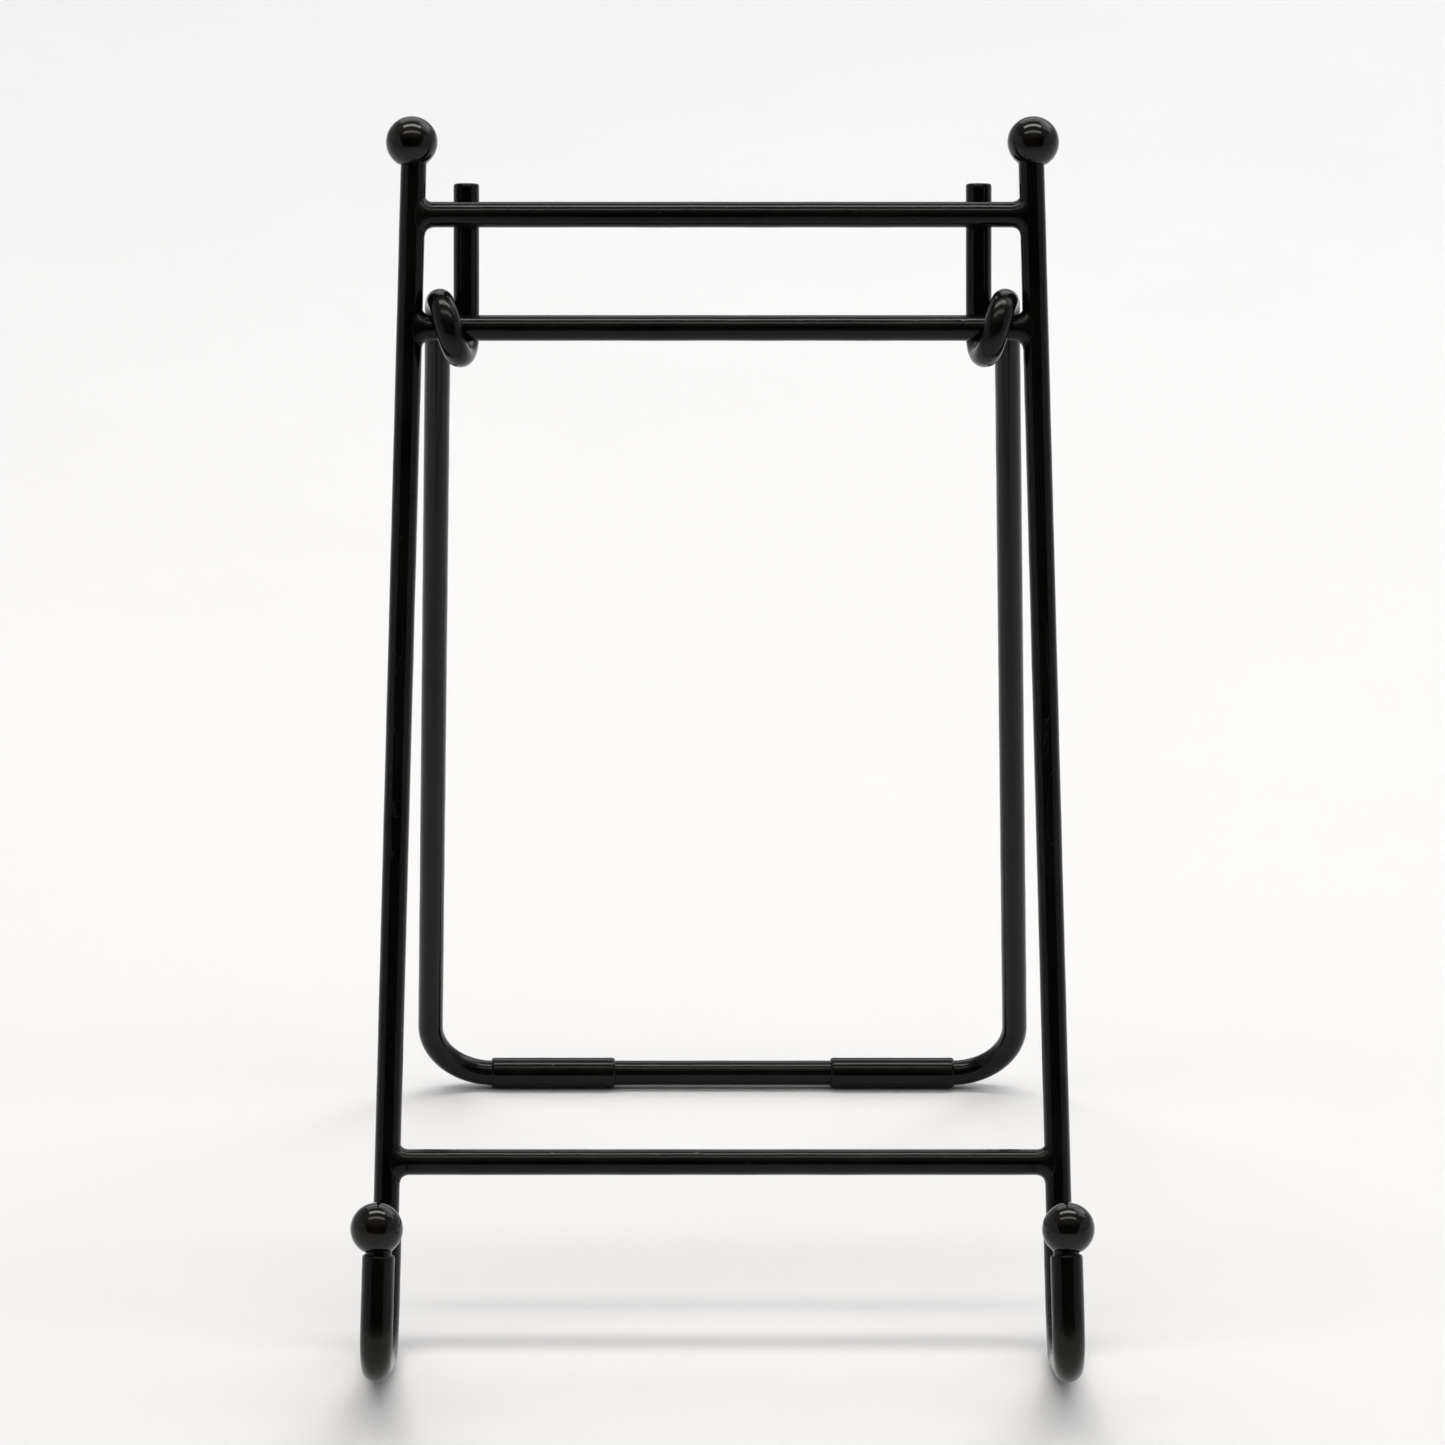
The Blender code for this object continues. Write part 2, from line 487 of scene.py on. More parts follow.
@dataclass(frozen=True)
class PaleFloor:
    """A plain matt white sweep, very faintly mottled."""

    name: str = "pale_floor"
    low: Colour = (0.795, 0.798, 0.811)
    high: Colour = (0.835, 0.838, 0.852)
    gloss: float = 0.6
    shine: float = 0.25
    mottle_pitch: float = 60 * MM

    def material(self) -> bpy.types.Material:
        """Builds the nodes.

        Returns:
            The floor's finish.
        """
        surface = Surface(self.name)
        mottle = surface.noise(surface.place(), self.mottle_pitch, 4.0)
        sockets = {
            "Base Color": surface.mixed(mottle, self.low, self.high),
            "Roughness": self.gloss,
            "Specular IOR Level": self.shine,
        }
        return surface.dressed(sockets)


# Geometry


def unit(vectors: Array) -> Array:
    """The vectors at length one."""
    return vectors / np.linalg.norm(vectors, axis=-1, keepdims=True)


def eased(share: Array) -> Array:
    """0 below 0, 1 above 1, and a smooth step between them."""
    share = np.clip(share, 0.0, 1.0)
    return share * share * (3 - 2 * share)


def placed(matrix: Matrix, points: Array) -> Array:
    """Points taken from a placement's own frame to the stand's."""
    grid = np.array(matrix)
    return points @ grid[:3, :3].T + grid[:3, 3]


def rounded(corners: Array, radii: tuple[float, ...], steps: int = 48) -> Array:
    """A path through corners, with an arc at each inner one.

    Args:
        corners: The path's corners, (n, 3) metres.
        radii: The bend radius at each inner corner.
        steps: How many points an arc has.

    Returns:
        The path's points, (m, 3) metres.
    """
    path = [corners[:1]]
    for before, corner, after, radius in zip(corners, corners[1:], corners[2:], radii):
        back, on = unit(before - corner), unit(after - corner)
        half = math.acos(float(back @ on)) / 2
        centre = corner + unit(back + on) * radius / math.sin(half)
        start = corner + back * radius / math.tan(half) - centre
        end = corner + on * radius / math.tan(half) - centre
        sweep = math.pi - 2 * half
        share = np.linspace(0, 1, steps)[:, None]
        spokes = start * np.sin((1 - share) * sweep) + end * np.sin(share * sweep)
        path.append(centre + spokes / math.sin(sweep))
    path.append(corners[-1:])
    return np.concatenate(path)


class Line:
    """A path, with its direction, a frame that doesn't twist and its curvature at each point."""

    SMOOTHING = 11  # how many neighbouring points share their curvature

    def __init__(self, path: Array, facing: Array, pitch: float = 0.25 * MM) -> None:
        """Measures a path.

        Args:
            path: Points in order, (n, 3) metres.
            facing: Any direction that the path doesn't start along.
            pitch: The distance between the points that the measures are taken at.
        """
        steps = np.linalg.norm(np.diff(path, axis=0), axis=1)
        reached = np.concatenate(([0.0], np.cumsum(steps)))
        self.length = float(reached[-1])
        self.along = np.linspace(0, self.length, int(self.length / pitch) + 2)
        self.point = self.read(path, reached, self.along)
        self.tangent = unit(np.gradient(self.point, self.along, axis=0))
        bend = np.gradient(self.tangent, self.along, axis=0)
        window = np.hanning(self.SMOOTHING) / np.hanning(self.SMOOTHING).sum()
        self.curve = np.stack([np.convolve(part, window, "same") for part in bend.T], axis=1)
        self.side = self.carried(facing)
        self.across = np.cross(self.tangent, self.side)

    @staticmethod
    def read(table: Array, known: Array, wanted: Array) -> Array:
        """A table's rows at the wanted lengths, between the rows at the known ones."""
        return np.stack([np.interp(wanted, known, column) for column in table.T], axis=1)

    def carried(self, facing: Array) -> Array:
        """A direction square to the path, carried along it without twisting.

        Args:
            facing: The direction to start from.

        Returns:
            The direction at each of the path's points.
        """
        side = np.empty_like(self.tangent)
        last = facing
        for row, ahead in enumerate(self.tangent):
            last = unit(last - ahead * (last @ ahead))
            side[row] = last
        return side

    def spokes(self, along: Array, sides: int) -> Spokes:
        """Rings of spokes square to the path.

        Args:
            along: How far along the path each ring is.
            sides: How many spokes a ring has.

        Returns:
            The spokes.
        """
        tables = (self.point, self.tangent, self.side, self.across, self.curve)
        point, tangent, side, across, curve = (self.read(t, self.along, along) for t in tables)
        angle = np.linspace(0, TURN, sides, endpoint=False)[None, :]
        side, across = unit(side)[:, None], unit(across)[:, None]
        out = side * np.cos(angle)[..., None] + across * np.sin(angle)[..., None]
        inward = (out * curve[:, None]).sum(axis=2) * TIGHT_BEND
        bend = np.linalg.norm(curve, axis=1, keepdims=True) * TIGHT_BEND
        return Spokes(along, angle, point, unit(tangent), out, inward, bend)


@dataclass(frozen=True)
class Spokes:
    """Rings of spokes round a line: a row for each ring, a column for each spoke."""

    along: Array
    angle: Array
    point: Array
    tangent: Array
    out: Array
    inward: Array
    bend: Array

    def skin(self, radius: Array) -> Array:
        """The points at the spokes' ends, (rings, sides, 3) metres."""
        return self.point[:, None] + self.out * radius[..., None]

    def laid(self, radius: Array) -> Array:
        """Those points as they are before the line is bent, (n, 3) metres.

        Args:
            radius: How long each spoke is.

        Returns:
            The points, one row each.
        """
        cross = [radius * np.cos(self.angle), radius * np.sin(self.angle)]
        depth = np.broadcast_to(self.along[:, None], radius.shape)
        return np.stack([*cross, depth], axis=2).reshape(-1, 3)

    def marked(self) -> Array:
        """How bent the line is at each of those points."""
        return np.broadcast_to(self.bend, self.inward.shape).ravel()


@dataclass(frozen=True)
class Ripple:
    """A small unevenness along and round a wire, the same on every run."""

    seed: int
    height: float
    pitch: float
    waves: int = 7

    def at(self, along: Array, angle: Array) -> Array:
        """Its height at each length and angle.

        Args:
            along: The lengths.
            angle: The angles.

        Returns:
            The heights, a row for each length.
        """
        draw = np.random.default_rng(self.seed)
        total = np.zeros(np.broadcast(along, angle).shape)
        for _ in range(self.waves):
            rate = TURN / (self.pitch * draw.uniform(0.6, 2.2))
            turns = draw.integers(0, 3)
            total += np.sin(rate * along + turns * angle + draw.uniform(0, TURN))
        return self.height * total / math.sqrt(self.waves)


@dataclass(frozen=True)
class Rub:
    """A worn place. It is full inside its reach and fades over its edge."""

    centre: Spot
    reach: float
    edge: float
    squeeze: Spot = (1.0, 1.0, 1.0)
    depth: float = 1.0

    def on(self, points: Array) -> Array:
        """How worn each point is, from 0 to 1."""
        away = np.linalg.norm((points - np.array(self.centre)) * np.array(self.squeeze), axis=1)
        return self.depth * eased((self.reach - away) / self.edge)


@dataclass
class Draft:
    """A mesh being made: its points, faces and the marks that its finish reads."""

    points: Array
    faces: Faces
    laid: Array
    bend: Array

    def settled(self, floor: float) -> Draft:
        """The draft with whatever would sink into the floor pressed flat on it."""
        self.points[:, 2] = np.maximum(self.points[:, 2], floor)
        return self

    def piece(self, name: str, rubs: tuple[Rub, ...] = ()) -> bpy.types.Object:
        """The draft as an object.

        Args:
            name: The object's name.
            rubs: The worn places near it.

        Returns:
            The object, in the scene, smooth and with its normals outward.
        """
        mesh = bpy.data.meshes.new(name)
        mesh.from_pydata(self.points.tolist(), [], self.faces)
        work = bmesh.new()
        work.from_mesh(mesh)
        bmesh.ops.recalc_face_normals(work, faces=work.faces)
        work.to_mesh(mesh)
        work.free()
        mesh.shade_smooth()
        worn = np.zeros(len(self.points))
        for rub in rubs:
            worn = np.maximum(worn, rub.on(self.points))
        marks = (
            ("laid", "FLOAT_VECTOR", "vector", self.laid.ravel()),
            ("bend", "FLOAT", "value", self.bend),
            ("rub", "FLOAT", "value", worn),
        )
        for mark, kind, part, numbers in marks:
            mesh.attributes.new(mark, kind, "POINT").data.foreach_set(part, numbers)
        made = bpy.data.objects.new(name, mesh)
        bpy.context.scene.collection.objects.link(made)
        return made


def walled(rings: int, sides: int, closed: bool) -> Faces:
    """Four-sided faces between neighbouring rings.

    Args:
        rings: How many rings there are.
        sides: How many points each ring has.
        closed: Whether the last ring joins the first.

    Returns:
        The faces.
    """
    faces = []
    for ring in range(rings if closed else rings - 1):
        here, there = ring * sides, (ring + 1) % rings * sides
        for spot in range(sides):
            on = (spot + 1) % sides
            faces.append((here + spot, here + on, there + on, there + spot))
    return faces


def capped(points: Array, sides: int, poles: tuple) -> tuple[Array, Faces]:
    """Skins a stack of rings, and closes each end with a fan round one more point.

    Args:
        points: The rings' points in order, (rings * sides, 3).
        sides: How many points each ring has.
        poles: The point at the middle of each end.

    Returns:
        The points with the poles, and the faces.
    """
    count = len(points)
    rings = count // sides
    faces = walled(rings, sides, False)
    for end, ring in enumerate((0, rings - 1)):
        for spot in range(sides):
            first, second = ring * sides + spot, ring * sides + (spot + 1) % sides
            faces.append((count + end, second, first) if end == 0 else (count + end, first, second))
    return np.concatenate([points, np.array(poles)]), faces


@dataclass(frozen=True)
class Rings:
    """A skin's rings: how far along each lies, its radius, and 1 where it is on the outside."""

    along: Array
    radius: Array
    outside: Array


@dataclass(frozen=True)
class Wire:
    """Drawn wire, a little oval where it is bent, with sheared ends that the enamel has rounded."""

    radius: float = 1.6 * MM
    sides: int = 36
    pitch: float = 0.5 * MM
    round_end: float = 0.42 * MM
    flattening: float = 0.035
    ripple: Ripple = Ripple(seed=3, height=0.006 * MM, pitch=9 * MM)
    end_profile: tuple = ((0.0, 0.55), (0.03, 0.74), (0.16, 0.89), (0.45, 0.97), (1.0, 1.0))

    def rings(self, length: float) -> Rings:
        """The rings for a wire of the given length.

        Args:
            length: The wire's length.

        Returns:
            The rings, from end to end.
        """
        inset, share = np.array(self.end_profile).T
        inset = inset * self.round_end
        count = int((length - 2 * self.round_end) / self.pitch) + 2
        middle = np.linspace(self.round_end, length - self.round_end, count)[1:-1]
        along = np.concatenate([inset, middle, length - inset[::-1]])
        radius = self.radius * np.concatenate([share, np.ones(len(middle)), share[::-1]])
        return Rings(along, radius, np.ones(len(along)))

    def drawn(self, line: Line) -> Draft:
        """The wire along a line.

        Args:
            line: The wire's axis.

        Returns:
            The wire.
        """
        rings = self.rings(line.length)
        spokes = line.spokes(rings.along, self.sides)
        share = 1 + self.flattening * (0.5 * spokes.bend - spokes.inward**2)
        radius = rings.radius[:, None] * share
        radius = radius + self.ripple.at(rings.along[:, None], spokes.angle)
        poles = (spokes.point[0], spokes.point[-1])
        points, faces = capped(spokes.skin(radius).reshape(-1, 3), self.sides, poles)
        laid = np.concatenate([spokes.laid(radius), [(0, 0, 0), (0, 0, line.length)]])
        return Draft(points, faces, laid, np.concatenate([spokes.marked(), [0.0, 0.0]]))


@dataclass(frozen=True)
class Tube:
    """Soft tube: it wrinkles inside its bends, and its cut ends flare and aren't quite square."""

    radius: float = 1.98 * MM
    bore: float = 1.66 * MM
    sides: int = 48
    pitch: float = 0.2 * MM
    bore_pitch: float = 0.6 * MM
    fold_pitch: float = 1.15 * MM
    fold_height: float = 0.055 * MM
    fold_rest: float = 0.2
    fold_onset: float = 1.5
    fold_sway: float = 0.7
    fold_lobes: int = 3
    fold_jitter: float = 0.5
    jitter_rate: float = 180 / MM
    flare: float = 0.03 * MM
    flare_reach: float = 0.5 * MM
    slant: float = 0.09 * MM
    slant_reach: float = 0.8 * MM
    slant_way: float = 1.1
    ripple: Ripple = Ripple(seed=11, height=0.007 * MM, pitch=5 * MM)
    pulled: tuple[float, float, float, float] | None = None
    pull_depth: float = 0.17 * MM
    lip: tuple = (
        (0.52, 0.0), (0.36, 0.012), (0.22, 0.05), (0.11, 0.105), (0.04, 0.17), (0.005, 0.24),
        (0.0, 0.30),
    )

    def rings(self, length: float) -> Rings:
        """The rings of a tube of the given length: out along the skin and back through the bore.

        Args:
            length: The tube's length.

        Returns:
            The rings, in a closed loop.
        """
        inset, drop = np.array(self.lip).T * MM
        outer = np.linspace(inset[0], length - inset[0], int(length / self.pitch))
        inner = np.linspace(inset[0], length - inset[0], int(length / self.bore_pitch))
        along = [outer, length - inset[1:], inner[::-1], inset[:0:-1]]
        lip = self.radius - drop[1:]
        radius = [np.full(len(outer), self.radius), lip, np.full(len(inner), self.bore), lip[::-1]]
        outside = [np.ones(len(outer)), np.ones(len(lip)), np.zeros(len(inner)), np.ones(len(lip))]
        return Rings(np.concatenate(along), np.concatenate(radius), np.concatenate(outside))

    def swell(self, rings: Rings, spokes: Spokes, from_end: Array) -> Array:
        """How much each point of the skin stands proud of a plain tube, in metres.

        Args:
            rings: The tube's rings.
            spokes: The spokes that its points are on.
            from_end: How far each ring is from the nearer cut end.

        Returns:
            The heights, 0 in the bore.
        """
        along, angle = rings.along[:, None], spokes.angle
        phase = TURN * along / self.fold_pitch + self.fold_sway * np.sin(self.fold_lobes * angle)
        phase = phase + self.fold_jitter * np.sin(self.jitter_rate * along)
        squeezed = np.clip(spokes.inward, 0, 1) ** self.fold_onset
        folds = self.fold_height * squeezed * (np.sin(phase) - self.fold_rest)
        flare = self.flare * np.exp(-from_end / self.flare_reach)
        skin = folds + flare + self.ripple.at(along, angle)
        if self.pulled:
            start, full, let_go, slack = self.pulled
            thin = eased((along - start) / (full - start)) * eased((slack - along) / (slack - let_go))
            skin = skin - self.pull_depth * thin
        return skin * rings.outside[:, None]

    def drawn(self, line: Line) -> Draft:
        """The tube along a line.

        Args:
            line: The tube's axis.

        Returns:
            The tube.
        """
        rings = self.rings(line.length)
        spokes = line.spokes(rings.along, self.sides)
        from_end = np.minimum(rings.along, line.length - rings.along)[:, None]
        radius = rings.radius[:, None] + self.swell(rings, spokes, from_end)
        slip = self.slant * np.cos(spokes.angle - self.slant_way)
        slip = slip * np.exp(-from_end / self.slant_reach)
        points = spokes.skin(radius) + spokes.tangent[:, None] * slip[..., None]
        faces = walled(len(rings.along), self.sides, True)
        return Draft(points.reshape(-1, 3), faces, spokes.laid(radius), spokes.marked())


@dataclass(frozen=True)
class Ball:
    """A moulded ball whose blind bore, a little off its centre, takes a wire's end."""

    radius: float = 3.2 * MM
    bore: float = 1.67 * MM
    bore_above_centre: float = 0.25 * MM
    lip: float = 0.16 * MM
    lip_steps: tuple = ((0.05, 0.6), (0.3, 0.22))
    crown: float = 0.985 * math.pi
    blend: float = 0.9
    sides: int = 96
    belts: int = 60

    def drawn(self, placement: Matrix, seat: Array, offset: Array) -> Draft:
        """The ball on a wire's end.

        Args:
            placement: The frame in which the wire's end points along Z.
            seat: The middle of the wire's end in that frame.
            offset: From the seat to the ball's centre.

        Returns:
            The ball.
        """
        angle = np.linspace(0, TURN, self.sides, endpoint=False)
        way = np.stack([np.cos(angle), np.sin(angle)], axis=1)
        mouth = math.asin((self.bore + self.lip) / self.radius)
        skin = []
        for polar in np.linspace(mouth, self.crown, self.belts):
            drift = float(eased(np.array((polar - mouth) / self.blend)))
            flat = way * self.radius * math.sin(polar) + offset[:2] * drift
            reach = np.linalg.norm(flat - offset[:2], axis=1)
            height = np.sqrt(np.maximum(self.radius**2 - reach**2, 0))
            height = -height if polar < TURN / 4 else height
            skin.append(np.column_stack([flat, height]))
        mouth_z = skin[0][:, 2].mean()
        rows = [(self.bore, self.bore_above_centre), (self.bore, mouth_z + self.lip)]
        for out, deep in self.lip_steps:
            rows.append((self.bore + out * self.lip, mouth_z + deep * self.lip))
        rings = [np.column_stack([way * r, np.full(self.sides, z)]) for r, z in rows] + skin
        poles = ((0, 0, self.bore_above_centre), (*offset[:2], self.radius))
        points, faces = capped(np.concatenate(rings), self.sides, poles)
        world = placed(placement, points + seat)
        return Draft(world, faces, points.copy(), np.zeros(len(points)))


@dataclass(frozen=True)
class Weld:
    """The fillet where a cross wire meets a side wire, flooded smooth by the enamel."""

    radius: float = 1.6 * MM
    run: float = 1.15 * MM
    climb: float = 2.55 * MM
    wrap: float = math.radians(80)
    edge: float = 0.985
    belly: float = 1.035
    root: float = 0.9
    tuck: float = 0.97
    core: float = 0.3
    shoulder: tuple[float, float] = (0.8, 0.2)
    unevenness: float = 0.06
    run_unevenness: float = 1.6
    sides: int = 48
    steps: int = 12

    def drawn(self, joint: Array, inboard: Array, up: Array, seed: int) -> Draft:
        """The fillet at one joint.

        Args:
            joint: The point on the side wire's axis that the cross wire aims at.
            inboard: The direction from it along the cross wire.
            up: The direction of the side wire.
            seed: What sets its unevenness.

        Returns:
            The fillet, closed inside the wires.
        """
        across = np.cross(up, inboard)
        angle = np.linspace(0, TURN, self.sides, endpoint=False)
        draw = np.random.default_rng(seed)
        uneven = sum(
            self.unevenness * np.sin(turns * angle + draw.uniform(0, TURN)) / turns
            for turns in range(1, 5)
        )
        edge, belly = self.edge * self.radius, self.belly * self.radius
        cosine, sine = np.cos(angle), np.sin(angle)
        run, climb = self.run * (1 + self.run_unevenness * uneven), self.climb * (1 + uneven)
        start = np.stack([self.radius + run, edge * cosine, edge * sine], axis=1)
        corner_x = self.radius * (self.shoulder[0] + self.shoulder[1] * sine**2)
        corner = np.stack([corner_x, belly * cosine, belly * sine], axis=1)
        turn = self.wrap * cosine
        end = np.stack([edge * np.cos(turn), edge * np.sin(turn), climb * sine], axis=1)
        rings = [start * (1, self.root, self.root)]
        for share in np.linspace(0, 1, self.steps):
            left = 1 - share
            rings.append(left**2 * start + 2 * share * left * corner + share**2 * end)
        rings.append(end * (self.root, self.root, self.tuck))
        poles = ((self.radius + self.run, 0, 0), (self.core * self.radius, 0, 0))
        local, faces = capped(np.concatenate(rings), self.sides, poles)
        world = joint + local @ np.stack([inboard, across, up])
        return Draft(world, faces, local, np.zeros(len(local)))


# Sub-assemblies


@dataclass(frozen=True)
class Kit:
    """The finished materials that the sub-assemblies share."""

    enamel: bpy.types.Material
    weld: bpy.types.Material
    vinyl: bpy.types.Material
    gloss: bpy.types.Material


def fitted(
    piece: bpy.types.Object,
    finish: bpy.types.Material,
    body: Body,
    node: str | None = None,
) -> None:
    """Dresses a piece, puts it on its body and lets it stand for its solid.

    Args:
        piece: The new piece.
        finish: Its material.
        body: The body that it rides on.
        node: The solid that it replaces, or None for a piece that no solid holds.
    """
    piece.data.materials.append(finish)
    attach(piece, body.value)
    fit = "with no solid"
    if node:
        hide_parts(node)
        spots = np.array([corner.co for corner in piece.data.vertices])
        ends = zip((spots.min(axis=0), spots.max(axis=0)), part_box(node))
        off = max(float(np.abs(mine - np.array(its)).max()) for mine, its in ends)
        fit = f"{off / MM:.2f} mm off its solid's box"
    log.info("%s on %s: %d faces, %s", piece.name, body.value, len(piece.data.polygons), fit)


@dataclass(frozen=True)
class FrontFrame:
    """The leaning frame: two bent side wires with sleeved hooks and balls, and three cross wires."""

    lean: float = math.radians(20)
    toe_in: float = math.radians(1.5)
    hook_spacing: float = 84 * MM
    hook_reach: float = 32 * MM
    hook_bend: float = 5 * MM
    foot_bend: float = 8 * MM
    hook_ball_up: float = 17 * MM
    top_ball_up: float = 150 * MM
    ball_offset: float = 0.3 * MM
    sleeve_top: float = 13.85 * MM
    sleeve_back_up: float = 16 * MM
    top_wire_up: float = 141 * MM
    hinge_up: float = 127 * MM
    lower_wire_up: float = 24 * MM
    buried: float = 0.4
    tail_x: float = 31.7 * MM
    coil_x: float = 33.4 * MM
    folded_leg_x: float = 37.3 * MM
    stop_mark: tuple = (1.3 * MM, 0.9 * MM)
    coil_mark: tuple = (2.5 * MM, 1.1 * MM)
    rim_ahead: float = 9 * MM
    rim_up: float = 90 * MM
    rim_mark: tuple = (8.8 * MM, 2.4 * MM, (1.0, 1.0, 0.22), 0.34)
    plate_seat: Spot = (0.0, -13 * MM, 3.2 * MM)
    plate_mark: tuple = (2.6 * MM, 1.6 * MM, (1.0, 0.35, 1.0))
    heel: Spot = (0.0, -1.3 * MM, -0.6 * MM)
    heel_mark: tuple = (1.5 * MM, 1.0 * MM)
    wire: Wire = Wire()
    tube: Tube = Tube(pulled=(11 * MM, 15.5 * MM, 35.0 * MM, 38.6 * MM))
    ball: Ball = Ball()
    weld: Weld = Weld()

    @property
    def hinge(self) -> Vector:
        """The middle of the hinge rod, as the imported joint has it."""
        return Vector(frame["joints"][0]["pos_m"])

    @property
    def placement(self) -> Matrix:
        """The frame's own axes: Z up between the uprights, from the foot corners."""
        drop = Matrix.Translation((0, 0, -self.hinge_up))
        return Matrix.Translation(self.hinge) @ Matrix.Rotation(-self.lean, 4, "X") @ drop

    def side_placement(self, side: Side) -> Matrix:
        """One side wire's own axes: Z up the upright and -Y out along the arm."""
        shift = Matrix.Translation((side.value * self.hook_spacing / 2, 0, 0))
        return self.placement @ shift @ Matrix.Rotation(-side.value * self.toe_in, 4, "Y")

    def side_x(self, up: float) -> float:
        """How far an upright's axis is from the middle, at a height up the frame."""
        return self.hook_spacing / 2 - up * math.tan(self.toe_in)

    def side_line(self, side: Side, hook_top: float, upright_top: float) -> Line:
        """Down the hook, back along the arm, round the front foot and up the upright.

        Args:
            side: Which side of the stand.
            hook_top: How far up the hook the line starts.
            upright_top: How far up the upright it ends.

        Returns:
            The line.
        """
        front = -self.hook_reach
        corners = np.array([(0, front, hook_top), (0, front, 0), (0, 0, 0), (0, 0, upright_top)])
        path = rounded(corners, (self.hook_bend, self.foot_bend))
        facing = np.array((-1.0 * side.value, 0.0, 0.0))
        return Line(placed(self.side_placement(side), path), facing)

    def at(self, x: float, y: float, up: float) -> Spot:
        """A point given in the frame's own axes, in the stand's."""
        return tuple(self.placement @ Vector((x, y, up)))

    def stop_rubs(self) -> tuple[Rub, ...]:
        """Where the leg's tails, its coils and the folded leg bear on the cross wires.

        Returns:
            The worn places.
        """
        back = self.wire.radius
        bearings = (
            (self.tail_x, back, self.top_wire_up, self.stop_mark),
            (self.coil_x, 0, self.hinge_up, self.coil_mark),
            (self.folded_leg_x, back, self.lower_wire_up, self.stop_mark),
        )
        return tuple(
            Rub(self.at(side.value * x, y, up), *mark) for side in Side for x, y, up, mark in bearings
        )

    def build_side_wire(self, side: Side, kit: Kit) -> None:
        """The bent wire that is hook, arm, front foot and upright.

        Args:
            side: Which side of the stand.
            kit: The finished materials.
        """
        line = self.side_line(side, self.hook_ball_up, self.top_ball_up)
        name = f"{side.word}_side_wire"
        x = side.value * self.side_x(self.rim_up)
        rim = Rub(self.at(x, -self.rim_ahead, self.rim_up), *self.rim_mark)
        piece = self.wire.drawn(line).piece(f"{side.word}_bent_side_wire", (rim,))
        fitted(piece, kit.enamel, Body.FRAME, name)

    def build_sleeve(self, side: Side, kit: Kit) -> None:
        """The vinyl sleeve from under the hook's ball to just up the upright.

        Args:
            side: Which side of the stand.
            kit: The finished materials.
        """
        line = self.side_line(side, self.sleeve_top, self.sleeve_back_up)
        place = self.side_placement(side)
        seat, heel = place @ Vector(self.plate_seat), place @ Vector(self.heel)
        floor = cad_box[0][2]
        foot = (heel.x, heel.y, floor)
        rubs = (Rub(tuple(seat), *self.plate_mark), Rub(foot, *self.heel_mark))
        draft = self.tube.drawn(line).settled(floor)
        piece = draft.piece(f"{side.word}_hook_vinyl", rubs)
        fitted(piece, kit.vinyl, Body.FRAME, f"{side.word}_hook_sleeve")

    def build_balls(self, side: Side, kit: Kit) -> None:
        """The balls on the hook and on the top of the upright.

        Args:
            side: Which side of the stand.
            kit: The finished materials.
        """
        seats = {"hook": (0, -self.hook_reach, self.hook_ball_up), "top": (0, 0, self.top_ball_up)}
        offset = np.array((side.value * self.ball_offset, 0.0, 0.0))
        for end, seat in seats.items():
            draft = self.ball.drawn(self.side_placement(side), np.array(seat), offset)
            piece = draft.piece(f"{side.word}_{end}_gloss_ball")
            fitted(piece, kit.gloss, Body.FRAME, f"{side.word}_{end}_ball")

    def build_cross_wires(self, kit: Kit) -> None:
        """The three wires between the uprights, and the six welds that hold them.

        Args:
            kit: The finished materials.
        """
        levels = {
            "top_cross_wire": ("upper_stop_wire", self.top_wire_up),
            "hinge_rod": ("hinge_wire", self.hinge_up),
            "lower_cross_wire": ("lower_stop_wire", self.lower_wire_up),
        }
        for seed, (node, (name, up)) in enumerate(levels.items()):
            reach = self.side_x(up) - self.buried * self.wire.radius
            ends = np.array([(-reach, 0, up), (reach, 0, up)])
            line = Line(placed(self.placement, ends), np.array((0.0, 0.0, 1.0)))
            piece = self.wire.drawn(line).piece(name, self.stop_rubs())
            fitted(piece, kit.enamel, Body.FRAME, node)
            for side in Side:
                self.build_weld(side, name, up, 10 * seed + side.value + 1, kit)

    def build_weld(self, side: Side, name: str, up: float, seed: int, kit: Kit) -> None:
        """The weld at one end of one cross wire.

        Args:
            side: Which side of the stand.
            name: The cross wire's piece.
            up: How far up the frame it is.
            seed: What sets the weld's unevenness.
            kit: The finished materials.
        """
        joint = np.array(self.at(side.value * self.side_x(up), 0, up))
        inboard = np.array((-1.0 * side.value, 0.0, 0.0))
        rise = np.array(self.side_placement(side).to_3x3() @ Vector((0, 0, 1)))
        rise = unit(rise - inboard * (rise @ inboard))
        draft = self.weld.drawn(joint, inboard, rise, seed)
        piece = draft.piece(f"{side.word}_{name}_weld")
        fitted(piece, kit.weld, Body.FRAME)

    def build(self, kit: Kit) -> None:
        """The whole front frame.

        Args:
            kit: The finished materials.
        """
        for side in Side:
            self.build_side_wire(side, kit)
            self.build_sleeve(side, kit)
            self.build_balls(side, kit)
        self.build_cross_wires(kit)


